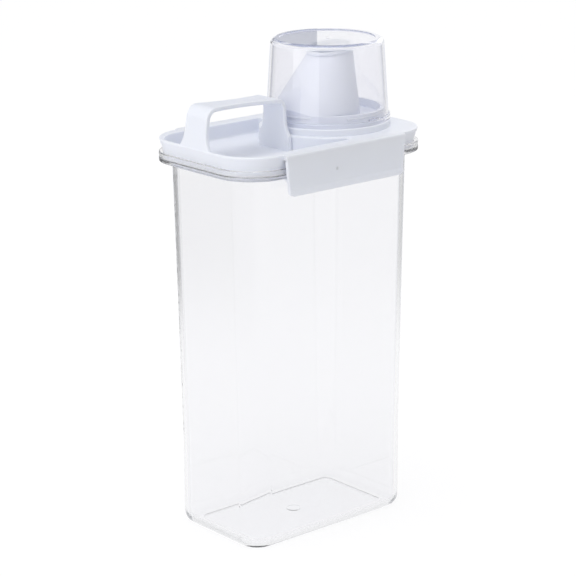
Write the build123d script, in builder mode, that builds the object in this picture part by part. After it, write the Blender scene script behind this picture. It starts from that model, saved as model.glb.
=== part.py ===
"""Detergent storage box: a clear box, a white lid with handle and spout, two latches and a cup.

Millimetres, +Z up. The origin is the middle of the foot. The long side lies along X and the
pouring spout is towards +X. Nearly every outline is the foot's rounded rectangle, grown or shrunk
all round by a named amount, so rim, lid, seal and plug follow the body when its size is changed.
"""
import os
from math import cos, radians, sin, sqrt

from build123d import *

# Box body
body_width = 126.5          # outside of the foot, long side
body_depth = 77.5           # outside of the foot, short side
body_corner = 14.5          # upright corners at the foot
knee_height = 58.0          # the walls stand plumb up to here
wall_lean = 3.2             # and lean out by this up to the rim
body_wall = 2.2
floor_thickness = 3.2
foot_radius = 7.2
panel_margin = 11.6         # hollowed panel under the foot, in from the outside
panel_corner = 5.0
panel_depth = 1.5
gate_radius = 4.4           # raised disc where the body was injected
gate_height = 0.5

# Rim of the body
rim_top = 238.2
rim_overhang = 8.0          # rim edge out from the wall
rim_band = 6.0              # height of the double bead
rim_ledge = 2.0             # floor of the step that takes the seal
rim_upstand = 2.2           # wall round that step
bead_groove_width = 0.7
bead_groove_depth = 0.9
bead_round = 0.8

# Lid shell
lid_height = 8.2            # deck above the rim
lid_clearance = 0.7         # lid wall inside the upstand
lid_flare = 2.7             # the wall leans out by this up to the deck
lid_wall = 2.0
deck_thickness = 2.2
deck_round = 0.8
seal_thickness = 1.4
seal_width = 5.0
plug_clearance = 0.4        # plug inside the body wall
plug_wall = 1.8
plug_drop = 2.4             # plug below the top of the ledge

# Finger recess
recess_depth = 9.0
recess_margin = 7.3         # deck left standing on the front and rear side
recess_edge = 2.4           # and at the end under the handle
recess_wall = 1.9
recess_horn = 4.9           # width of its two horns, where they end beside the plinth
recess_end_round = 1.9
recess_foot_round = 1.5
recess_lip_round = 0.8

# Measuring cup, upside down over the spout
cup_offset = 30.5           # cup axis from the middle of the box
cup_height = 49.5
cup_mouth_radius = 37.6
cup_top_radius = 34.4
cup_wall = 1.7
cup_top_thickness = 2.0
cup_round = 3.2
cup_bead = 0.9
cup_bead_height = 3.0
cup_bead_round = 0.7
cup_panel_margin = 5.2
cup_panel_depth = 0.5

# Plinth, collar and spout
plinth_height = 4.1
plinth_round = 0.8
plinth_wall = 2.0
platform_margin = 3.5       # deck round the plinth, on the recess side
collar_gap = 1.5            # collar inside the cup, room for the thread
collar_wall = 2.0
collar_height = 7.2
gutter_depth = 5.0          # gutter between collar and spout, below the top of the collar
gutter_width = 15.1         # on the pouring side
gutter_floor = 1.8
spout_wall = 1.6
spout_overhang = 1.9        # foot past the collar on the handle's side, where the collar trims it
spout_mouth_radius = 13.8
spout_mouth_shift = 2.2     # middle of the mouth, from the cup axis
spout_headroom = 6.0        # middle of the mouth, below the inside of the cup
spout_tilt = 8.0            # degrees, the mouth rises towards the pouring side
spout_lip = 0.8
spout_lip_height = 1.6

# Handle
handle_inset = 0.6          # outer face of the left leg, in from the wall of the lid
handle_lean = 3.4
handle_rise = 24.3          # top of the bar above the deck, at the left leg
handle_fall = 1.6           # and lower by this at the spout
handle_strap = 2.6
handle_gap = 2.2            # right leg to the plinth
handle_foot_width = 27.4
handle_shoulder_width = 19.4
handle_grip_width = 14.4
handle_flare_height = 14.0
handle_outer_round = 7.5
handle_inner_round = 5.0
handle_edge_round = 0.7

# Latches
latch_top_width = 93.4
latch_taper = 2.5           # at each end, from top to bottom
latch_height = 24.6
latch_thickness = 2.2
latch_clearance = 0.3       # inner face to the edge of the rim
latch_bead_radius = 1.15    # rolled top edge, on the hinge axis
latch_running = 0.05        # rolled edge in its seat
latch_neck_height = 2.6
latch_corner = 2.6
latch_lip_height = 4.0      # lower edge, turned out for a finger
latch_lip_reach = 0.8
hook_reach = 2.2
hook_height = 1.8
hook_slope = 0.9
hook_clearance = 0.25
rail_lip = 0.75             # wall of the seat under the rolled edge
rail_setback = 0.1
rail_chamfer = 0.75

overrun = 3.0               # cuts pass the faces that they open

# Levels that follow from the sizes above
rim_low = rim_top - rim_band
ledge_top = rim_low + rim_ledge
lid_foot = ledge_top + seal_thickness
deck_top = rim_top + lid_height
deck_under = deck_top - deck_thickness
recess_floor = deck_top - recess_depth
plinth_top = deck_top + plinth_height
collar_top = plinth_top + collar_height
gutter_top = collar_top - gutter_depth
gutter_under = gutter_top - gutter_floor
cup_top = plinth_top + cup_height
spout_middle = cup_top - cup_top_thickness - spout_headroom
hinge_height = deck_top - latch_bead_radius

# Growth of each outline over the rounded rectangle of the foot
rim_growth = wall_lean + rim_overhang
step_growth = rim_growth - rim_upstand
spigot_growth = step_growth - lid_clearance
skirt_growth = spigot_growth - lid_wall
deck_growth = spigot_growth + lid_flare
recess_growth = deck_growth - recess_margin
recess_stretch = recess_margin - recess_edge
mouth_growth = wall_lean - body_wall
plug_growth = mouth_growth - plug_clearance

# Places that follow
plinth_radius = cup_mouth_radius + cup_bead
platform_radius = plinth_radius + platform_margin
collar_radius = cup_mouth_radius - cup_wall - collar_gap
collar_bore = collar_radius - collar_wall
spout_foot_radius = (collar_radius + spout_overhang + collar_bore - gutter_width) / 2
spout_foot_shift = spout_foot_radius - collar_radius - spout_overhang
horn_side = body_depth / 2 + recess_growth - recess_horn
recess_reach = sqrt(max(platform_radius**2 - horn_side**2, 0))
deck_edge = body_depth / 2 + deck_growth
latch_inner = body_depth / 2 + rim_growth + latch_clearance
latch_outer = latch_inner + latch_thickness
latch_low = deck_top - latch_height
hinge_offset = latch_outer - latch_bead_radius


def outline(growth, height):
    """The rounded rectangle of the foot, grown all round and lifted to a height."""
    with BuildSketch(Plane.XY.offset(height)) as shape:
        RectangleRounded(body_width + 2 * growth, body_depth + 2 * growth, body_corner + growth)
    return shape.sketch


def disc(radius, height, shift=0.0):
    """A circle about the cup axis, or shifted from it along X."""
    with BuildSketch(Plane.XY.offset(height)) as shape:
        with Locations((cup_offset + shift, 0)):
            Circle(radius)
    return shape.sketch


def tray(growth, stretch, end_radius, reach, height):
    """The handle's side of an outline, stretched at that end and cut short towards the cup.

    A circle about the cup axis cuts it. Its two horns run on beside the circle, up to this reach
    from the cup axis.
    """
    with BuildSketch(Plane.XY.offset(height)) as shape:
        with Locations((-stretch / 2, 0)):
            RectangleRounded(body_width + 2 * growth + stretch, body_depth + 2 * growth, body_corner + growth)
        with Locations((cup_offset, 0)):
            Circle(end_radius, mode=Mode.SUBTRACT)
        with Locations((cup_offset - reach, 0)):
            Rectangle(body_width, 2 * body_depth, align=(Align.MIN, Align.CENTER), mode=Mode.SUBTRACT)
        tips = shape.vertices().group_by(Axis.X)[-1]
        fillet(tips, recess_end_round)
    return shape.sketch


def rounded_plate(growth, low, height, rounding):
    """A plate whose upper and lower edges are rounded."""
    with BuildPart() as plate:
        extrude(outline(growth, low), amount=height)
        fillet(plate.faces().filter_by(Axis.Z).edges(), rounding)
    return plate.part


# Hollow of the body: rounded foot, leaning walls, step for the seal
with BuildPart() as body_hollow:
    loft([outline(-body_wall, floor_thickness), outline(-body_wall, knee_height)])
    loft([outline(-body_wall, knee_height), outline(mouth_growth, ledge_top)])
    fillet(body_hollow.faces().sort_by(Axis.Z)[0].edges(), foot_radius - body_wall)
    extrude(outline(step_growth, ledge_top), amount=rim_band + overrun)

# Body: one clear moulding with a double bead round the rim
with BuildPart() as container:
    loft([outline(0, 0), outline(0, knee_height)])
    loft([outline(0, knee_height), outline(wall_lean, rim_low)])
    fillet(container.faces().sort_by(Axis.Z)[0].edges(), foot_radius)
    extrude(outline(rim_growth - bead_groove_depth, rim_low + bead_round), amount=rim_band - 2 * bead_round)
    bead_height = (rim_band - bead_groove_width) / 2
    for bead_low in (rim_low, rim_top - bead_height):
        add(rounded_plate(rim_growth, bead_low, bead_height, bead_round))
    add(body_hollow.part, mode=Mode.SUBTRACT)
    with BuildSketch(Plane.XY):
        RectangleRounded(body_width - 2 * panel_margin, body_depth - 2 * panel_margin, panel_corner)
    extrude(amount=panel_depth, mode=Mode.SUBTRACT)
    with BuildSketch(Plane.XY.offset(panel_depth - gate_height)):
        Circle(gate_radius)
    extrude(amount=gate_height)

# Seal: a flat ring on the step, under the foot of the lid
with BuildPart() as lid_seal:
    extrude(outline(spigot_growth, ledge_top), amount=seal_thickness)
    extrude(outline(spigot_growth - seal_width, ledge_top), amount=seal_thickness, mode=Mode.SUBTRACT)

# Handle: a strap arch, where a front, an end and a plan outline cross
leg_left = -(body_width / 2 + deck_growth - handle_inset)
leg_right = cup_offset - plinth_radius - handle_gap
bar_left = deck_top + handle_rise
bar_right = bar_left - handle_fall
bar_start = leg_left + handle_lean + handle_outer_round
bar_end = leg_right - handle_outer_round
lean_per_height = handle_lean / handle_rise
with BuildPart() as handle:
    with BuildSketch(Plane.XZ) as arch_outside:
        Polygon(
            (handle_inset - body_width / 2 - spigot_growth, rim_top),
            (leg_left - lean_per_height * deck_round, deck_top - deck_round),
            (leg_left + handle_lean, bar_left),
            (leg_right, bar_right),
            (leg_right, recess_floor - recess_wall / 2),
            align=None,
        )
        fillet(arch_outside.vertices().sort_by(Axis.Y)[-2:], handle_outer_round)
    extrude(amount=handle_foot_width, both=True)
    with BuildSketch(Plane.XZ) as arch_inside:
        Polygon(
            (leg_left - lean_per_height * handle_rise + handle_strap, deck_top - handle_rise),
            (leg_left + handle_lean + handle_strap, bar_left - handle_strap),
            (leg_right - handle_strap, bar_right - handle_strap),
            (leg_right - handle_strap, deck_top - handle_rise),
            align=None,
        )
        fillet(arch_inside.vertices().sort_by(Axis.Y)[-2:], handle_inner_round)
    extrude(amount=handle_foot_width + overrun, both=True, mode=Mode.SUBTRACT)
    with BuildSketch(Plane.YZ):
        with BuildLine():
            Line((0, bar_left + overrun), (handle_shoulder_width / 2, bar_left + overrun))
            Line(
                (handle_shoulder_width / 2, bar_left + overrun),
                (handle_shoulder_width / 2, deck_top + handle_flare_height),
            )
            Spline(
                (handle_shoulder_width / 2, deck_top + handle_flare_height),
                (handle_foot_width / 2, deck_top),
                tangents=[(0, -1), (1, -1)],
            )
            Polyline(
                (handle_foot_width / 2, deck_top),
                (handle_foot_width / 2, deck_under - recess_depth),
                (0, deck_under - recess_depth),
            )
            mirror(about=Plane.YZ)
        make_face()
    extrude(amount=body_width, both=True, mode=Mode.INTERSECT)
    with BuildSketch(Plane.XY.offset(deck_top)):
        with BuildLine():
            ThreePointArc(
                (bar_start, handle_shoulder_width / 2),
                ((bar_start + bar_end) / 2, handle_grip_width / 2),
                (bar_end, handle_shoulder_width / 2),
            )
            Polyline(
                (bar_end, handle_shoulder_width / 2),
                (bar_end, handle_foot_width),
                (cup_offset, handle_foot_width),
                (cup_offset, 0),
            )
            Polyline(
                (bar_start, handle_shoulder_width / 2),
                (bar_start, handle_foot_width),
                (-body_width, handle_foot_width),
                (-body_width, 0),
            )
            mirror(about=Plane.XZ)
        make_face()
    extrude(amount=handle_rise + recess_depth, both=True, mode=Mode.INTERSECT)
    strap_edges = handle.edges().filter_by(Axis.X, reverse=True).filter_by(Axis.Y, reverse=True)
    strap_edges = strap_edges.filter_by_position(Axis.Z, deck_top + handle_edge_round, bar_left)
    fillet(strap_edges, handle_edge_round)

# Finger recess, cut out of the deck
with BuildPart() as recess:
    loft(
        [
            tray(recess_growth, recess_stretch - lid_flare, platform_radius, recess_reach, recess_floor),
            tray(recess_growth, recess_stretch, platform_radius, recess_reach, deck_top),
        ]
    )
    fillet(recess.faces().sort_by(Axis.Z)[0].edges(), recess_foot_round)

# Spout: an oblique funnel that leaves the top of the collar on the handle's side
mouth_plane = Plane(
    origin=(cup_offset + spout_mouth_shift, 0, spout_middle),
    x_dir=(cos(radians(spout_tilt)), 0, sin(radians(spout_tilt))),
    z_dir=(-sin(radians(spout_tilt)), 0, cos(radians(spout_tilt))),
)


def mouth(radius):
    """A circle in the slanted plane of the spout's mouth."""
    with BuildSketch(mouth_plane) as shape:
        Circle(radius)
    return shape.sketch


def funnel(inset, trim_radius):
    """The upright foot and the slanted funnel on it, drawn in all round and trimmed by the collar."""
    foot = spout_foot_radius - inset
    with BuildPart() as shape:
        extrude(disc(foot, gutter_under, spout_foot_shift), amount=collar_top - gutter_under)
        loft([disc(foot, collar_top, spout_foot_shift), mouth(spout_mouth_radius - inset)])
        extrude(disc(trim_radius, gutter_under), amount=cup_height, mode=Mode.INTERSECT)
    return shape.part


# Hollow of the lid, beside the block that holds the recess
with BuildPart() as lid_hollow:
    extrude(outline(skirt_growth, lid_foot), amount=rim_top - lid_foot)
    loft([outline(skirt_growth, rim_top), outline(deck_growth - lid_wall, deck_under)])
    block = tray(deck_growth, 0, platform_radius - recess_wall, recess_reach - recess_wall, lid_foot)
    extrude(block, amount=deck_under - lid_foot, mode=Mode.SUBTRACT)

# Lid: one white moulding
with BuildPart() as lid:
    extrude(outline(spigot_growth, lid_foot), amount=rim_top - lid_foot)
    loft([outline(spigot_growth, rim_top), outline(deck_growth, deck_top)])
    fillet(lid.faces().sort_by(Axis.Z)[-1].edges(), deck_round)
    add(lid_hollow.part, mode=Mode.SUBTRACT)
    # Plug, which centres the lid in the mouth of the body
    plug_low = ledge_top - plug_drop
    with BuildSketch(Plane.XY.offset(plug_low)):
        add(outline(plug_growth, 0))
        add(outline(plug_growth - plug_wall, 0), mode=Mode.SUBTRACT)
    extrude(amount=deck_under - plug_low)
    add(recess.part, mode=Mode.SUBTRACT)
    deck_face = lid.faces().filter_by(Axis.Z).sort_by(Axis.Z)[-1]
    fillet(deck_face.inner_wires().edges(), recess_lip_round)
    # Plinth under the cup, then the collar that the cup screws on
    extrude(disc(plinth_radius, deck_under), amount=plinth_top - deck_under)
    fillet(lid.faces().sort_by(Axis.Z)[-1].edges(), plinth_round)
    extrude(disc(collar_radius, deck_under), amount=collar_top - deck_under)
    under_plinth = disc(plinth_radius - plinth_wall, deck_under)
    extrude(under_plinth, amount=plinth_top - plinth_wall - deck_under, mode=Mode.SUBTRACT)
    extrude(disc(collar_bore, deck_under), amount=gutter_under - deck_under, mode=Mode.SUBTRACT)
    extrude(disc(collar_bore, gutter_top), amount=gutter_depth + overrun, mode=Mode.SUBTRACT)
    add(funnel(0, collar_radius))
    extrude(mouth(spout_mouth_radius + spout_lip), amount=spout_lip_height)
    add(funnel(spout_wall, collar_bore), mode=Mode.SUBTRACT)
    extrude(mouth(spout_mouth_radius - spout_wall), amount=spout_lip_height + overrun, mode=Mode.SUBTRACT)
    # Hinge rails: a concave seat along each long edge of the deck
    seat_radius = latch_bead_radius + latch_running
    rail_low = hinge_height - seat_radius - rail_lip
    rail_out = hinge_offset - rail_setback
    for side in (-1, 1):
        with BuildSketch(Plane.YZ):
            Polygon(
                (side * (deck_edge - lid_wall), rail_low),
                (side * rail_out, rail_low),
                (side * rail_out, deck_top - rail_chamfer),
                (side * (rail_out - rail_chamfer), deck_top),
                (side * (deck_edge - lid_wall), deck_top),
                align=None,
            )
            with Locations((side * hinge_offset, hinge_height)):
                Circle(seat_radius, mode=Mode.SUBTRACT)
        extrude(amount=latch_top_width / 2, both=True)
    add(handle.part)

# Latch on the rear side: rolled edge, thin neck, plate with a hook and a turned-out lip
hook_top = rim_low - hook_clearance
with BuildPart() as rear_latch:
    with BuildSketch(Plane.YZ):
        with Locations((hinge_offset, hinge_height)):
            Circle(latch_bead_radius)
        Polygon(
            (hinge_offset, hinge_height),
            (latch_outer, hinge_height),
            (latch_outer, latch_low + latch_lip_height),
            (latch_outer + latch_lip_reach, latch_low),
            (latch_inner + latch_lip_reach, latch_low),
            (latch_inner, latch_low + latch_lip_height),
            (latch_inner, hook_top - hook_height),
            (latch_inner - hook_reach, hook_top - hook_height + hook_slope),
            (latch_inner - hook_reach, hook_top),
            (latch_inner, hook_top),
            (latch_inner, hinge_height - latch_neck_height),
            (hinge_offset, hinge_height - latch_neck_height),
            align=None,
        )
    extrude(amount=latch_top_width / 2, both=True)
    with BuildSketch(Plane.XZ) as latch_front:
        Polygon(
            (-latch_top_width / 2, deck_top),
            (latch_top_width / 2, deck_top),
            (latch_top_width / 2 - latch_taper, latch_low),
            (latch_taper - latch_top_width / 2, latch_low),
            align=None,
        )
        fillet(latch_front.vertices().sort_by(Axis.Y)[:2], latch_corner)
    extrude(amount=latch_outer + overrun, both=True, mode=Mode.INTERSECT)

with BuildPart() as front_latch:
    mirror(rear_latch.part, about=Plane.XZ)

# Measuring cup, a clear moulding turned about its own axis
cup_plane = Plane(origin=(cup_offset, 0, plinth_top), x_dir=(1, 0, 0), z_dir=(0, -1, 0))
cup_slope = (cup_mouth_radius - cup_top_radius) / cup_height
with BuildPart() as measuring_cup:
    with BuildSketch(cup_plane) as cup_outside:
        Polygon(
            (0, 0),
            (cup_mouth_radius, 0),
            (cup_top_radius, cup_height),
            (0, cup_height),
            align=None,
        )
        fillet(cup_outside.vertices().group_by(Axis.Y)[-1].sort_by(Axis.X)[-1], cup_round)
    with BuildSketch(cup_plane) as cup_rim:
        Polygon(
            (0, 0),
            (plinth_radius, 0),
            (plinth_radius, cup_bead_height),
            (0, cup_bead_height),
            align=None,
        )
        fillet(cup_rim.vertices().group_by(Axis.X)[-1], cup_bead_round)
    revolve(axis=Axis((cup_offset, 0, 0), (0, 0, 1)))
    inner_mouth = cup_mouth_radius - cup_wall
    inner_top = cup_top_radius - cup_wall + cup_slope * cup_top_thickness
    with BuildSketch(cup_plane) as cup_inside:
        Polygon(
            (0, 0),
            (inner_mouth, 0),
            (inner_top, cup_height - cup_top_thickness),
            (0, cup_height - cup_top_thickness),
            align=None,
        )
        fillet(cup_inside.vertices().group_by(Axis.Y)[-1].sort_by(Axis.X)[-1], cup_round - cup_wall)
    revolve(axis=Axis((cup_offset, 0, 0), (0, 0, 1)), mode=Mode.SUBTRACT)
    extrude(
        disc(cup_top_radius - cup_panel_margin, cup_top - cup_panel_depth),
        amount=cup_panel_depth + overrun,
        mode=Mode.SUBTRACT,
    )

os.makedirs("parts", exist_ok=True)
for name, piece in (
    ("container", container),
    ("lid_seal", lid_seal),
    ("lid", lid),
    ("front_latch", front_latch),
    ("rear_latch", rear_latch),
    ("measuring_cup", measuring_cup),
):
    piece.part.label = name
    export_step(piece.part, f"parts/{name}.step")
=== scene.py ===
"""Dresses the detergent storage box: clear body, milky lid and latches, tinted cup, studio.

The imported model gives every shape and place. The small moulded details that it leaves out, such
as the thread of the cup and the gate marks, are added here, and each surface gets its material.
Lengths are metres. Those that are typed in millimetres are followed by MM.
"""
from math import cos, pi, radians, sin

import bmesh
import bpy
from bpy.props import FloatProperty, FloatVectorProperty, IntProperty, PointerProperty
from mathutils import Matrix, Vector


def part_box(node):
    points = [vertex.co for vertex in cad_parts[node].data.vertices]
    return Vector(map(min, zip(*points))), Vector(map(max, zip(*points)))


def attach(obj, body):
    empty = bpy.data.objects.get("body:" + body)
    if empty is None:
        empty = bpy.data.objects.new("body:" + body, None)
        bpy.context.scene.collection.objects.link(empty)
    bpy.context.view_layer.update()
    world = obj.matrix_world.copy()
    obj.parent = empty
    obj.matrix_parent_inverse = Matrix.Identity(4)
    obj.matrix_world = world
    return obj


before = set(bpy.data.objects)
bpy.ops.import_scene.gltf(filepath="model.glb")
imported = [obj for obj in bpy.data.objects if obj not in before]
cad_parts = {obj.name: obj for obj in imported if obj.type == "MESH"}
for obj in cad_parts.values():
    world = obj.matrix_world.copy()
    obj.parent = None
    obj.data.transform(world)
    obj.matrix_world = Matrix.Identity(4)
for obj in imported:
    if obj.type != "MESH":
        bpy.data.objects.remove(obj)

bl_info = {
    "name": "Detergent Storage Box",
    "version": (1, 0, 0),
    "blender": (4, 5, 0),
    "location": "View3D > Sidebar > Storage Box",
    "description": "Materials, moulded details and studio for a clear box with a white lid",
    "category": "Object",
}

MM = 0.001


def linear(hex_colour):
    """An sRGB hex colour as linear red, green, blue and alpha."""
    channels = [int(hex_colour[i:i + 2], 16) / 255 for i in (0, 2, 4)]
    return [c / 12.92 if c <= 0.04045 else ((c + 0.055) / 1.055) ** 2.4 for c in channels] + [1.0]


def colour_property(name, description, hex_colour):
    """A colour swatch in the settings."""
    return FloatVectorProperty(
        name=name,
        description=description,
        default=linear(hex_colour)[:3],
        subtype="COLOR",
        min=0.0,
        max=1.0,
        size=3,
    )


class StorageBoxFinish(bpy.types.PropertyGroup):
    """Colours and surface of the mouldings."""

    body_tint: colour_property("Body tint", "Colour of the clear body", "FCFCFD")
    # Painted shade: the contour lines of the body are darkened to this colour
    body_edge_shade: colour_property("Body edge", "Colour of the body's contour lines", "80848F")
    body_haze: colour_property("Body haze", "Colour of thick plastic in the body", "BCBEC3")
    body_smoke: FloatProperty(
        name="Body smoke",
        description="Light that the clear body takes, per metre of plastic",
        default=19.0,
        min=0.0,
    )
    cup_tint: colour_property("Cup tint", "Colour of the clear cup", "F8F8FB")
    # Painted shade: the contour lines of the cup are darkened to this blue-grey
    cup_edge_shade: colour_property("Cup edge", "Colour of the cup's contour lines", "7C88A8")
    cup_haze: colour_property("Cup haze", "Colour of thick plastic in the cup", "A8B6DC")
    cup_smoke: FloatProperty(
        name="Cup smoke",
        description="Light that the clear cup takes, per metre of plastic",
        default=9.0,
        min=0.0,
    )
    lid_white: colour_property("Lid white", "Colour of the lid and the latches", "ECEFF8")
    seal_white: colour_property("Seal white", "Colour of the seal", "E3E4E6")
    # Partly painted shade: a little darker than the lid for the rougher cut surface and for the shadow in
    # the gate's dimple
    gate_shade_grey: colour_property("Gate grey", "Colour of the cut gates on the latches", "E0E3EA")


class StorageBoxDetails(bpy.types.PropertyGroup):
    """Sizes and places of the small moulded details."""

    collar_radius: FloatProperty(
        name="Collar radius",
        description="Outer radius of the lid's collar",
        default=34.4 * MM,
        unit="LENGTH",
    )
    mouth_radius: FloatProperty(
        name="Mouth radius",
        description="Inner radius of the cup's mouth",
        default=35.9 * MM,
        unit="LENGTH",
    )
    thread_height: FloatProperty(
        name="Thread height",
        description="How far a ramp or lug stands out",
        default=0.6 * MM,
        unit="LENGTH",
    )
    thread_width: FloatProperty(
        name="Thread width",
        description="Width of a ramp or lug across its run",
        default=1.5 * MM,
        unit="LENGTH",
    )
    thread_rise: FloatProperty(
        name="Thread rise",
        description="Height that a ramp gains over its run",
        default=0.9 * MM,
        unit="LENGTH",
    )
    thread_arc: FloatProperty(
        name="Thread arc",
        description="Part of the collar that a ramp runs round",
        default=radians(84),
        subtype="ANGLE",
    )
    thread_turn: FloatProperty(
        name="Thread turn",
        description="Where the first ramp starts",
        default=radians(-112),
        subtype="ANGLE",
    )
    thread_starts: IntProperty(
        name="Thread starts",
        description="Ramps round the collar",
        default=3,
        min=1,
    )
    ramp_level: FloatProperty(
        name="Ramp level",
        description="Start of a ramp above the edge of the cup's mouth",
        default=4.9 * MM,
        unit="LENGTH",
    )
    lug_level: FloatProperty(
        name="Lug level",
        description="Height of a lug above the edge of the cup's mouth",
        default=3.1 * MM,
        unit="LENGTH",
    )
    lug_arc: FloatProperty(
        name="Lug arc",
        description="Part of the mouth that a lug runs round",
        default=radians(14),
        subtype="ANGLE",
    )
    gate_radius: FloatProperty(
        name="Gate radius",
        description="Radius of the mark where a piece was injected",
        default=1.1 * MM,
        unit="LENGTH",
    )
    gate_height: FloatProperty(
        name="Gate height",
        description="How far that mark stands out",
        default=0.14 * MM,
        unit="LENGTH",
    )
    gate_offset: FloatProperty(
        name="Gate offset",
        description="That mark from the middle of a latch, along the box",
        default=-8.3 * MM,
        unit="LENGTH",
    )
    gate_level: FloatProperty(
        name="Gate level",
        description="That mark above the lower edge of a latch",
        default=11.5 * MM,
        unit="LENGTH",
    )
    lip_reach: FloatProperty(
        name="Lip reach",
        description="How far a latch's lower lip stands out past its face",
        default=0.8 * MM,
        unit="LENGTH",
    )


class StorageBoxStudio(bpy.types.PropertyGroup):
    """Camera, floor and lamps."""

    azimuth: FloatProperty(
        name="Azimuth",
        description="Camera to the left of the front",
        default=radians(40.4),
        subtype="ANGLE",
    )
    elevation: FloatProperty(
        name="Elevation",
        description="Camera above the horizon",
        default=radians(16.13),
        subtype="ANGLE",
    )
    roll: FloatProperty(
        name="Roll",
        description="Camera roll",
        default=radians(-0.44),
        subtype="ANGLE",
    )
    distance: FloatProperty(
        name="Distance",
        description="Camera to its target",
        default=1.3133,
        unit="LENGTH",
    )
    target_height: FloatProperty(
        name="Target height",
        description="Height of the point at the middle of the picture",
        default=0.1479,
        unit="LENGTH",
    )
    target_offset: FloatProperty(
        name="Target offset",
        description="That point from the middle of the box",
        default=-0.0022,
        unit="LENGTH",
    )
    lens: FloatProperty(
        name="Lens",
        description="Focal length on a 36 mm sensor",
        default=133.3,
        subtype="DISTANCE_CAMERA",
    )
    softbox_power: FloatProperty(
        name="Softbox power",
        description="Wide softbox at the handle's end",
        default=4.4,
        unit="POWER",
    )
    fill_power: FloatProperty(
        name="Fill power",
        description="Small softbox at the cup's end",
        default=1.6,
        unit="POWER",
    )
    overhead_strength: FloatProperty(
        name="Overhead strength",
        description="Soft light from above",
        default=1.1,
        min=0.0,
    )
    room_light: FloatProperty(
        name="Room light",
        description="Plain light from all round",
        default=0.53,
        min=0.0,
    )
    floor_grey: colour_property("Floor", "Colour of the floor", "EDEDEE")
    floor_shade: colour_property("Floor shade", "Part of the floor's white that the shadow takes", "878788")
    floor_glow: FloatProperty(
        name="Floor glow",
        description="White added to the floor where it is seen",
        default=0.79,
    )
    paper_reach: FloatProperty(
        name="Paper reach",
        description="White paper round the box, before the darker floor",
        default=0.34,
        unit="LENGTH",
    )
    bare_floor: FloatProperty(
        name="Bare floor",
        description="White of the floor beyond the paper, as clear plastic shows it",
        default=0.4,
    )
    flag_grey: colour_property("Flag", "Colour of the card behind the cup", "788096")
    flag_edge: FloatProperty(
        name="Flag edge",
        description="Right edge of that card from the middle of the box",
        default=0.027,
        unit="LENGTH",
    )


def add_node(tree, kind, settings=None, values=None, links=None):
    """Adds a node with its settings, the values of its sockets and the links into them."""
    node = tree.nodes.new(kind)
    for key, value in (settings or {}).items():
        setattr(node, key, value)
    for key, value in (values or {}).items():
        node.inputs[key].default_value = value
    for key, source in (links or {}).items():
        tree.links.new(source, node.inputs[key])
    return node


def new_material(name):
    """An empty node material."""
    material = bpy.data.materials.new(name)
    material.use_nodes = True
    material.node_tree.nodes.clear()
    return material, material.node_tree


def painted_contour_shade(tree, height, tilts, heights):
    """Where painted shade turns a clear wall to its edge colour, along its contour lines, from 0 to 1.

    They lie where light enters a wall that is seen edge-on. They are painted shade for the dark lines
    that clear plastic shows there as it bends and mirrors darker things. The tilts are where they start
    and where they are full. The heights are where they are still faint above the foot and where
    they are full, and where they fade below the rim and are nearly gone, because its beads sparkle.
    """
    start, full = tilts
    faint, strong, fade, gone = heights
    foot_share = 0.1
    rim_share = 0.08
    facing = add_node(tree, "ShaderNodeLayerWeight", values={"Blend": 0.5})
    side = add_node(tree, "ShaderNodeNewGeometry")
    entry = add_node(
        tree,
        "ShaderNodeMath",
        settings={"operation": "SUBTRACT"},
        values={0: 1.0},
        links={1: side.outputs["Backfacing"]},
    )
    rise = add_node(
        tree,
        "ShaderNodeMapRange",
        values={"From Min": faint, "From Max": strong, "To Min": foot_share, "To Max": 1.0},
        links={"Value": height},
    )
    fall = add_node(
        tree,
        "ShaderNodeMapRange",
        values={"From Min": fade, "From Max": gone, "To Min": 1.0, "To Max": rim_share},
        links={"Value": height},
    )
    amount = add_node(
        tree,
        "ShaderNodeMapRange",
        settings={"interpolation_type": "SMOOTHSTEP"},
        values={"From Min": start, "From Max": full},
        links={"Value": facing.outputs["Facing"]},
    ).outputs["Result"]
    for share in (entry.outputs[0], rise.outputs["Result"], fall.outputs["Result"]):
        amount = add_node(
            tree,
            "ShaderNodeMath",
            settings={"operation": "MULTIPLY"},
            links={0: amount, 1: share},
        ).outputs[0]
    return amount


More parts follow.
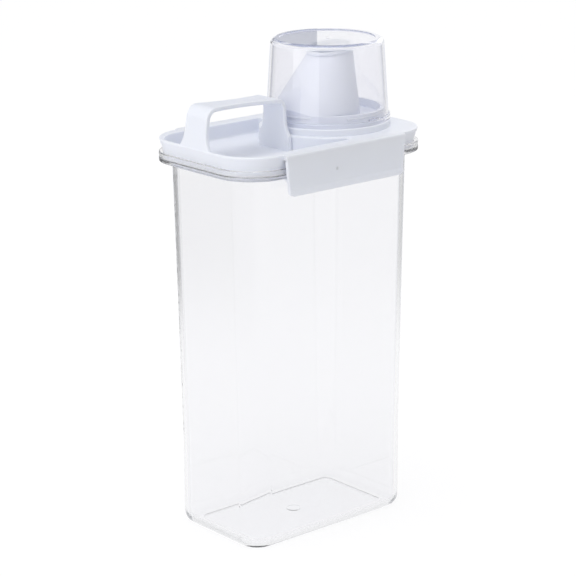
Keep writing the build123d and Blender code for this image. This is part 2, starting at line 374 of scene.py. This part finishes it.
def clear_moulding(name, tint, edge, tilts, heights, haze, smoke):
    """Styrene-acrylonitrile, injection moulded in a polished mould.

    To the eye: glassy and hard, clear face-on. Where the wall is seen edge-on, its colour turns to
    the edge colour. This is painted shade for the dark contour lines that it shows there, at the tilts and
    heights given to the contour mask. The walls aren't quite flat, so reflections waver over a few
    centimetres. Thick plastic is hazy and takes a little light, and lamps shine through the wall.
    """
    material, tree = new_material(name)
    place = add_node(tree, "ShaderNodeTexCoord")
    waver_mm = 42.0
    waver = add_node(
        tree,
        "ShaderNodeTexNoise",
        values={"Scale": 1 / (waver_mm * MM), "Detail": 1.0, "Roughness": 0.4},
        links={"Vector": place.outputs["Object"]},
    )
    bump = add_node(
        tree,
        "ShaderNodeBump",
        values={"Strength": 0.1, "Distance": 0.3 * MM},
        links={"Height": waver.outputs["Fac"]},
    )
    level = add_node(tree, "ShaderNodeSeparateXYZ", links={"Vector": place.outputs["Object"]})
    # Painted shade: the tint turns to the edge colour along the contour lines, in place of the dark that
    # the wall bends and mirrors there
    colour = add_node(
        tree,
        "ShaderNodeMix",
        settings={"data_type": "RGBA"},
        values={6: [*tint, 1.0], 7: [*edge, 1.0]},
        links={0: painted_contour_shade(tree, level.outputs["Z"], tilts, heights)},
    )
    skin = add_node(
        tree,
        "ShaderNodeBsdfPrincipled",
        values={"Roughness": 0.02, "IOR": 1.567, "Transmission Weight": 1.0},
        links={"Base Color": colour.outputs[2], "Normal": bump.outputs["Normal"]},
    )
    path = add_node(tree, "ShaderNodeLightPath")
    lighting = add_node(
        tree,
        "ShaderNodeMath",
        settings={"operation": "MAXIMUM"},
        links={0: path.outputs["Is Shadow Ray"], 1: path.outputs["Is Diffuse Ray"]},
    )
    let_through = add_node(tree, "ShaderNodeBsdfTransparent", values={"Color": linear("FDFDFE")})
    wall = add_node(
        tree,
        "ShaderNodeMixShader",
        links={0: lighting.outputs[0], 1: skin.outputs["BSDF"], 2: let_through.outputs[0]},
    )
    inside = add_node(
        tree,
        "ShaderNodeVolumeAbsorption",
        values={"Color": [*haze, 1.0], "Density": smoke},
    )
    add_node(
        tree,
        "ShaderNodeOutputMaterial",
        links={"Surface": wall.outputs[0], "Volume": inside.outputs["Volume"]},
    )
    return material


def milky_moulding(name, colour, grain_mm, roughness):
    """Polypropylene, injection moulded against a finely spark-eroded mould, or pressed silicone.

    To the eye: milky white that glows a little at thin edges, a soft sheen and no sharp mirror
    image. Silicone and a cut gate differ only in their grain and sheen.
    """
    material, tree = new_material(name)
    place = add_node(tree, "ShaderNodeTexCoord")
    flow_mm = 30.0
    flow = add_node(
        tree,
        "ShaderNodeTexNoise",
        values={"Scale": 1 / (flow_mm * MM), "Detail": 2.0, "Roughness": 0.5},
        links={"Vector": place.outputs["Object"]},
    )
    shade = add_node(
        tree,
        "ShaderNodeMapRange",
        values={"To Min": 0.985, "To Max": 1.015},
        links={"Value": flow.outputs["Fac"]},
    )
    tone = add_node(
        tree,
        "ShaderNodeMix",
        settings={"data_type": "RGBA", "blend_type": "MULTIPLY"},
        values={"Factor": 1.0, 6: [*colour, 1.0]},
        links={7: shade.outputs["Result"]},
    )
    grain = add_node(
        tree,
        "ShaderNodeTexNoise",
        values={"Scale": 1 / (grain_mm * MM), "Detail": 3.0, "Roughness": 0.6},
        links={"Vector": place.outputs["Object"]},
    )
    bump = add_node(
        tree,
        "ShaderNodeBump",
        values={"Strength": 0.12, "Distance": 0.05 * MM},
        links={"Height": grain.outputs["Fac"]},
    )
    skin = add_node(
        tree,
        "ShaderNodeBsdfPrincipled",
        values={
            "Roughness": roughness,
            "IOR": 1.49,
            "Subsurface Weight": 0.35,
            "Subsurface Radius": (1.0, 1.0, 1.1),
            "Subsurface Scale": 2.4 * MM,
        },
        links={"Base Color": tone.outputs[2], "Normal": bump.outputs["Normal"]},
    )
    add_node(tree, "ShaderNodeOutputMaterial", links={"Surface": skin.outputs["BSDF"]})
    return material


def paint(node, material):
    """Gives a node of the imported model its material."""
    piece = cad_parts[node]
    piece.data.materials.clear()
    piece.data.materials.append(material)


class STORAGEBOX_OT_body(bpy.types.Operator):
    """Clear body and the seal on its ledge"""

    bl_idname = "storagebox.body"
    bl_label = "Body and seal"

    def execute(self, context):
        finish = context.scene.storage_box_finish
        low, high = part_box("container")
        faint_height_share = 0.35
        clear = clear_moulding(
            "clear_san_polished_mould",
            finish.body_tint,
            finish.body_edge_shade,
            tilts=(0.57, 0.77),
            # Painted shade on the contour lines, faint on the lower body, full higher up and fading just
            # below the rim
            heights=(
                low.z + faint_height_share * (high.z - low.z),
                high.z,
                high.z - 10 * MM,
                high.z - 6.5 * MM,
            ),
            haze=finish.body_haze,
            smoke=finish.body_smoke,
        )
        paint("container", clear)
        seal = milky_moulding("silicone_seal_pressed", finish.seal_white, grain_mm=0.6, roughness=0.5)
        paint("lid_seal", seal)
        return {"FINISHED"}


class STORAGEBOX_OT_lid(bpy.types.Operator):
    """Milky lid with its two latches"""

    bl_idname = "storagebox.lid"
    bl_label = "Lid and latches"

    def execute(self, context):
        white = context.scene.storage_box_finish.lid_white
        milky = milky_moulding("milky_polypropylene_moulded", white, grain_mm=0.5, roughness=0.38)
        for node in ("lid", "front_latch", "rear_latch"):
            paint(node, milky)
        return {"FINISHED"}


class STORAGEBOX_OT_cup(bpy.types.Operator):
    """Clear tinted measuring cup"""

    bl_idname = "storagebox.cup"
    bl_label = "Measuring cup"

    def execute(self, context):
        finish = context.scene.storage_box_finish
        low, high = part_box("measuring_cup")
        clear = clear_moulding(
            "tinted_san_polished_mould",
            finish.cup_tint,
            finish.cup_edge_shade,
            tilts=(0.7, 0.92),
            # Painted shade on the contour lines, faint at the foot, full from 12 mm up and fading at the
            # top
            heights=(low.z, low.z + 12 * MM, high.z - 5 * MM, high.z - 2 * MM),
            haze=finish.cup_haze,
            smoke=finish.cup_smoke,
        )
        paint("measuring_cup", clear)
        return {"FINISHED"}


def add_mesh(name, work, material):
    """Makes an object of one material from a finished bmesh."""
    mesh = bpy.data.meshes.new(name)
    work.to_mesh(mesh)
    work.free()
    mesh.materials.append(material)
    thing = bpy.data.objects.new(name, mesh)
    bpy.context.scene.collection.objects.link(thing)
    return thing


def add_piece(name, work, material, body):
    """Makes a moulded detail, which rides on a body of the model."""
    bmesh.ops.recalc_face_normals(work, faces=work.faces)
    piece = add_mesh(name, work, material)
    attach(piece, body)


def round_edges(work, edges, offset):
    """Rounds edges of a moulded detail in two steps."""
    bmesh.ops.bevel(
        work,
        geom=edges,
        offset=offset,
        offset_type="OFFSET",
        affect="EDGES",
        segments=2,
        profile=0.5,
        material=-1,
    )


def round_rib(work, centre, radius, turn, arc, rise, details):
    """A rounded rib that runs round a centre, and climbs by rise."""
    step = radians(4)
    fewest_steps = 4
    end_round_share = 0.35
    flat = bmesh.ops.create_circle(work, cap_ends=True, segments=12, radius=1.0)["verts"]
    half_width = details.thread_width / 2
    upright = Matrix(((details.thread_height, 0, 0), (0, 0, 1), (0, half_width, 0))).to_4x4()
    start = Matrix.Rotation(turn, 4, "Z") @ Matrix.Translation((radius, 0, 0))
    bmesh.ops.transform(work, matrix=Matrix.Translation(centre) @ start @ upright, verts=flat)
    face = flat[0].link_faces[0]
    steps = max(fewest_steps, round(arc / step))
    last = bmesh.ops.spin(
        work,
        geom=[*flat, *face.edges, face],
        cent=centre,
        axis=(0, 0, 1),
        dvec=(0, 0, rise / steps),
        angle=arc,
        steps=steps,
        use_merge=False,
    )["geom_last"]
    caps = [face] + [each for each in last if isinstance(each, bmesh.types.BMFace)]
    ends = [edge for cap in caps for edge in cap.edges]
    round_edges(work, ends, end_round_share * details.thread_height)


def gate_mark(work, place, outwards, details):
    """A low round mark where the sprue was cut off, half sunk into the wall."""
    top_share = 0.8
    round_share = 0.5
    outwards = Vector(outwards)
    turn = outwards.to_track_quat("Z", "Y").to_matrix().to_4x4()
    bmesh.ops.create_cone(
        work,
        cap_ends=True,
        segments=24,
        radius1=details.gate_radius,
        radius2=top_share * details.gate_radius,
        depth=2 * details.gate_height,
        matrix=Matrix.Translation(place) @ turn,
    )
    rim = [
        edge
        for edge in work.edges
        if all((vert.co - place).dot(outwards) > 0 for vert in edge.verts)
    ]
    round_edges(work, rim, round_share * details.gate_height)


class STORAGEBOX_OT_thread(bpy.types.Operator):
    """Thread ramps on the lid's collar and the lugs in the cup that run under them"""

    bl_idname = "storagebox.thread"
    bl_label = "Cup thread"

    def execute(self, context):
        details = context.scene.storage_box_details
        low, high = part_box("measuring_cup")
        middle = (low.x + high.x) / 2
        ramp_centre = Vector((middle, 0.0, low.z + details.ramp_level))
        lug_centre = Vector((middle, 0.0, low.z + details.lug_level))
        arc = details.thread_arc
        rise = details.thread_rise
        lug_share = 1 / 3
        ramps = bmesh.new()
        lugs = bmesh.new()
        for start in range(details.thread_starts):
            turn = details.thread_turn + start * 2 * pi / details.thread_starts
            lug_turn = turn + lug_share * (arc - details.lug_arc)
            round_rib(ramps, ramp_centre, details.collar_radius, turn, arc, rise, details)
            round_rib(lugs, lug_centre, details.mouth_radius, lug_turn, details.lug_arc, 0.0, details)
        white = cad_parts["lid"].data.materials[0]
        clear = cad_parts["measuring_cup"].data.materials[0]
        add_piece("collar_thread", ramps, white, "box")
        add_piece("cup_lugs", lugs, clear, "measuring_cup")
        return {"FINISHED"}


class STORAGEBOX_OT_gates(bpy.types.Operator):
    """Marks where the latches and the cup were injected"""

    bl_idname = "storagebox.gates"
    bl_label = "Gate marks"

    def execute(self, context):
        details = context.scene.storage_box_details
        grey = context.scene.storage_box_finish.gate_shade_grey
        # The latch gates are greyer: partly their rougher cut surface, partly painted shade standing in for
        # the shadow of a small dimple
        cut = milky_moulding("polypropylene_cut_gate_painted_shade", grey, grain_mm=0.4, roughness=0.6)
        for latch, side in (("front_latch", -1), ("rear_latch", 1)):
            low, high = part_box(latch)
            face = max(abs(low.y), abs(high.y)) - details.lip_reach
            place = Vector((details.gate_offset, side * face, low.z + details.gate_level))
            work = bmesh.new()
            gate_mark(work, place, (0, side, 0), details)
            add_piece(latch + "_gate", work, cut, latch)
        low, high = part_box("measuring_cup")
        work = bmesh.new()
        gate_mark(work, Vector(((low.x + high.x) / 2, 0.0, high.z)), (0, 0, 1), details)
        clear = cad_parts["measuring_cup"].data.materials[0]
        add_piece("cup_gate", work, clear, "measuring_cup")
        return {"FINISHED"}


def seen_light(tree):
    """1 for what the camera sees, directly, mirrored or through clear plastic, and 0 otherwise."""
    path = add_node(tree, "ShaderNodeLightPath")
    seen = path.outputs["Is Camera Ray"]
    for way in ("Is Glossy Ray", "Is Transmission Ray"):
        seen = add_node(
            tree,
            "ShaderNodeMath",
            settings={"operation": "MAXIMUM"},
            links={0: seen, 1: path.outputs[way]},
        ).outputs[0]
    return seen


def bare_floor_share(tree, studio):
    """How much of the bare floor shows, from 0 on the white paper to 1 beyond it.

    Directions start from the middle of the box: along leads away from the camera's place in the
    settings, across to its right, and heading is 1 straight behind the box and 0 beside it. Light
    that has met more walls than most_bounces finds white everywhere, so that only the outlines of
    the clear body come out dark.
    """
    a = studio.azimuth
    reach = studio.paper_reach
    most_bounces = 3
    place = add_node(tree, "ShaderNodeTexCoord")
    along, across = [
        add_node(
            tree,
            "ShaderNodeVectorMath",
            settings={"operation": "DOT_PRODUCT"},
            values={1: way},
            links={0: place.outputs["Object"]},
        ).outputs["Value"]
        for way in ((sin(a), cos(a), 0.0), (cos(a), -sin(a), 0.0))
    ]
    distance = add_node(
        tree,
        "ShaderNodeVectorMath",
        settings={"operation": "LENGTH"},
        links={0: place.outputs["Object"]},
    ).outputs["Value"]
    heading = add_node(
        tree,
        "ShaderNodeMath",
        settings={"operation": "DIVIDE"},
        links={0: along, 1: distance},
    ).outputs[0]
    path = add_node(tree, "ShaderNodeLightPath")
    share = add_node(
        tree,
        "ShaderNodeMath",
        settings={"operation": "LESS_THAN"},
        values={1: most_bounces + 0.5},
        links={0: path.outputs["Ray Depth"]},
    ).outputs[0]
    # What is measured, where its change starts and ends, and the share before and after it
    for measure, start, end, before, after in (
        (heading, 0.92, 0.82, 0.0, 1.0),
        (heading, 0.44, 0.68, 0.75, 1.0),
        (across, -0.1, 0.1, 1.0, 0.55),
        (distance, reach, 2.1 * reach, 0.0, 1.0),
        (distance, 2.6 * reach, 3.0 * reach, 1.0, 0.75),
    ):
        change = add_node(
            tree,
            "ShaderNodeMapRange",
            settings={"interpolation_type": "SMOOTHSTEP"},
            values={"From Min": start, "From Max": end, "To Min": before, "To Max": after},
            links={"Value": measure},
        )
        share = add_node(
            tree,
            "ShaderNodeMath",
            settings={"operation": "MULTIPLY"},
            links={0: share, 1: change.outputs["Result"]},
        ).outputs[0]
    return share


def floor_paper(studio):
    """White paper on a darker floor, which shows only as clear plastic mirrors or bends it.

    To the eye: plain white with the soft shadow of the box. Where it is seen it is darker paper
    plus a glow, so that the shadow keeps its depth and the rest comes out white.
    """
    material, tree = new_material("floor_paper")
    seen = seen_light(tree)
    path = add_node(tree, "ShaderNodeLightPath")
    mirrored = add_node(
        tree,
        "ShaderNodeMath",
        settings={"operation": "SUBTRACT"},
        links={0: seen, 1: path.outputs["Is Camera Ray"]},
    )
    bare = add_node(
        tree,
        "ShaderNodeMath",
        settings={"operation": "MULTIPLY"},
        links={0: bare_floor_share(tree, studio), 1: mirrored.outputs[0]},
    )
    white = add_node(
        tree,
        "ShaderNodeMapRange",
        values={"To Min": 1.0, "To Max": studio.bare_floor},
        links={"Value": bare.outputs[0]},
    )
    pale = add_node(
        tree,
        "ShaderNodeMix",
        settings={"data_type": "RGBA"},
        values={6: [*studio.floor_grey, 1.0], 7: [*studio.floor_shade, 1.0]},
        links={0: seen},
    )
    shaded = add_node(
        tree,
        "ShaderNodeMix",
        settings={"data_type": "RGBA", "blend_type": "MULTIPLY"},
        values={"Factor": 1.0},
        links={6: pale.outputs[2], 7: white.outputs["Result"]},
    )
    paper = add_node(tree, "ShaderNodeBsdfDiffuse", links={"Color": shaded.outputs[2]})
    lift = add_node(
        tree,
        "ShaderNodeMath",
        settings={"operation": "MULTIPLY"},
        values={1: studio.floor_glow},
        links={0: seen},
    )
    glow = add_node(
        tree,
        "ShaderNodeEmission",
        links={"Strength": lift.outputs[0], "Color": white.outputs["Result"]},
    )
    both = add_node(tree, "ShaderNodeAddShader", links={0: paper.outputs[0], 1: glow.outputs[0]})
    add_node(tree, "ShaderNodeOutputMaterial", links={"Surface": both.outputs[0]})
    return material


class STORAGEBOX_OT_studio(bpy.types.Operator):
    """Floor, lamps, room and camera"""

    bl_idname = "storagebox.studio"
    bl_label = "Studio"

    def execute(self, context):
        scene = context.scene
        studio = scene.storage_box_studio
        self.make_camera(scene, studio)
        self.make_floor(studio)
        self.make_flag(studio)
        self.make_room(scene, studio)
        self.make_lamps(scene, studio)
        scene.view_settings.view_transform = "Standard"
        # Light crosses many clear walls, and comes out dark where its bounces run out
        scene.cycles.max_bounces = 64
        scene.cycles.glossy_bounces = 64
        scene.cycles.transmission_bounces = 64
        scene.cycles.transparent_max_bounces = 32
        return {"FINISHED"}

    def make_camera(self, scene, studio):
        """A long lens to the left of the front, a little above the box."""
        data = bpy.data.cameras.new("camera")
        data.lens = studio.lens
        data.sensor_width = 36.0
        data.clip_end = 20.0
        camera = bpy.data.objects.new("camera", data)
        scene.collection.objects.link(camera)
        a, e, r = studio.azimuth, studio.elevation, studio.roll
        back = Vector((-sin(a) * cos(e), -cos(a) * cos(e), sin(e)))
        right = Vector((cos(a), -sin(a), 0.0))
        up = back.cross(right)
        turned_right = right * cos(r) + up * sin(r)
        turned_up = up * cos(r) - right * sin(r)
        target = Vector((studio.target_offset, 0.0, studio.target_height))
        turn = Matrix((turned_right, turned_up, back)).transposed().to_4x4()
        camera.matrix_world = Matrix.Translation(target + back * studio.distance) @ turn
        scene.camera = camera

    def make_floor(self, studio):
        """A wide round floor under the box."""
        work = bmesh.new()
        bmesh.ops.create_circle(work, cap_ends=True, segments=96, radius=4.0)
        floor = add_mesh("floor", work, floor_paper(studio))

    def make_flag(self, studio):
        """A grey card behind the box, which only shows mirrored in the top of the cup."""
        width = 0.9
        height = 0.34
        bottom = 0.4
        distance = 0.7
        a = studio.azimuth
        behind = Vector((sin(a), cos(a), 0.0))
        right = Vector((cos(a), -sin(a), 0.0))
        up = Vector((0.0, 0.0, 1.0))
        middle = behind * distance - right * (width / 2 - studio.flag_edge) + up * (bottom + height / 2)
        turn = Matrix((right * width, up * height, behind)).transposed().to_4x4()
        work = bmesh.new()
        bmesh.ops.create_grid(work, x_segments=1, y_segments=1, size=0.5)
        bmesh.ops.transform(work, matrix=Matrix.Translation(middle) @ turn, verts=work.verts)
        material, tree = new_material("grey_card")
        grey = add_node(tree, "ShaderNodeEmission", values={"Color": [*studio.flag_grey, 1.0]})
        add_node(tree, "ShaderNodeOutputMaterial", links={"Surface": grey.outputs[0]})
        flag = add_mesh("flag", work, material)
        flag.visible_camera = False
        flag.visible_diffuse = False
        flag.visible_transmission = False
        flag.visible_shadow = False

    def make_room(self, scene, studio):
        """White where it is seen, and a plain dim light on the things in it."""
        world = bpy.data.worlds.new("room")
        world.use_nodes = True
        tree = world.node_tree
        tree.nodes.clear()
        strength = add_node(
            tree,
            "ShaderNodeMapRange",
            values={"To Min": studio.room_light, "To Max": 1.0},
            links={"Value": seen_light(tree)},
        )
        glow = add_node(
            tree,
            "ShaderNodeBackground",
            values={"Color": linear("FFFFFF")},
            links={"Strength": strength.outputs["Result"]},
        )
        add_node(tree, "ShaderNodeOutputWorld", links={"Surface": glow.outputs[0]})
        scene.world = world

    def make_lamps(self, scene, studio):
        """A wide softbox at the handle's end, a weak one at the cup's end and a soft light above.

        Clear plastic mirrors them, but they aren't seen through it.
        """
        softbox = bpy.data.lights.new("softbox", "AREA")
        softbox.shape = "RECTANGLE"
        softbox.size = 1.3
        softbox.size_y = 0.9
        softbox.energy = studio.softbox_power
        fill = bpy.data.lights.new("fill", "AREA")
        fill.shape = "SQUARE"
        fill.size = 0.7
        fill.energy = studio.fill_power
        overhead = bpy.data.lights.new("overhead", "SUN")
        overhead.angle = radians(50)
        overhead.energy = studio.overhead_strength
        aim = Vector((0.0, 0.0, 0.25))
        for data, place in (
            (softbox, Vector((-1.2, -0.12, 0.36))),
            (fill, Vector((1.0, 0.35, 0.75))),
            (overhead, Vector((-0.3, -0.1, 1.6))),
        ):
            lamp = bpy.data.objects.new(data.name, data)
            lamp.location = place
            lamp.rotation_euler = (aim - place).to_track_quat("-Z", "Y").to_euler()
            lamp.visible_transmission = False
            scene.collection.objects.link(lamp)


class STORAGEBOX_PT_panel(bpy.types.Panel):
    """Lists the settings and the steps"""

    bl_idname = "STORAGEBOX_PT_panel"
    bl_label = "Storage Box"
    bl_space_type = "VIEW_3D"
    bl_region_type = "UI"
    bl_category = "Storage Box"

    def draw(self, context):
        for group in ("storage_box_finish", "storage_box_details", "storage_box_studio"):
            box = self.layout.box()
            settings = getattr(context.scene, group)
            for name in settings.bl_rna.properties.keys():
                if name not in ("rna_type", "name"):
                    box.prop(settings, name)
        for step in STEPS:
            self.layout.operator(step.bl_idname)


SETTINGS = (StorageBoxFinish, StorageBoxDetails, StorageBoxStudio)
STEPS = (
    STORAGEBOX_OT_studio,
    STORAGEBOX_OT_body,
    STORAGEBOX_OT_lid,
    STORAGEBOX_OT_cup,
    STORAGEBOX_OT_thread,
    STORAGEBOX_OT_gates,
)
CLASSES = SETTINGS + STEPS + (STORAGEBOX_PT_panel,)


def register():
    """Adds the settings, the steps and the panel."""
    for each in CLASSES:
        bpy.utils.register_class(each)
    bpy.types.Scene.storage_box_finish = PointerProperty(type=StorageBoxFinish)
    bpy.types.Scene.storage_box_details = PointerProperty(type=StorageBoxDetails)
    bpy.types.Scene.storage_box_studio = PointerProperty(type=StorageBoxStudio)


def unregister():
    """Takes them away again."""
    del bpy.types.Scene.storage_box_studio
    del bpy.types.Scene.storage_box_details
    del bpy.types.Scene.storage_box_finish
    for each in reversed(CLASSES):
        bpy.utils.unregister_class(each)


def main():
    """Makes everything."""
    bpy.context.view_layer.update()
    register()
    bpy.ops.storagebox.studio()
    bpy.ops.storagebox.body()
    bpy.ops.storagebox.lid()
    bpy.ops.storagebox.cup()
    bpy.ops.storagebox.thread()
    bpy.ops.storagebox.gates()


if __name__ == "__main__":
    main()
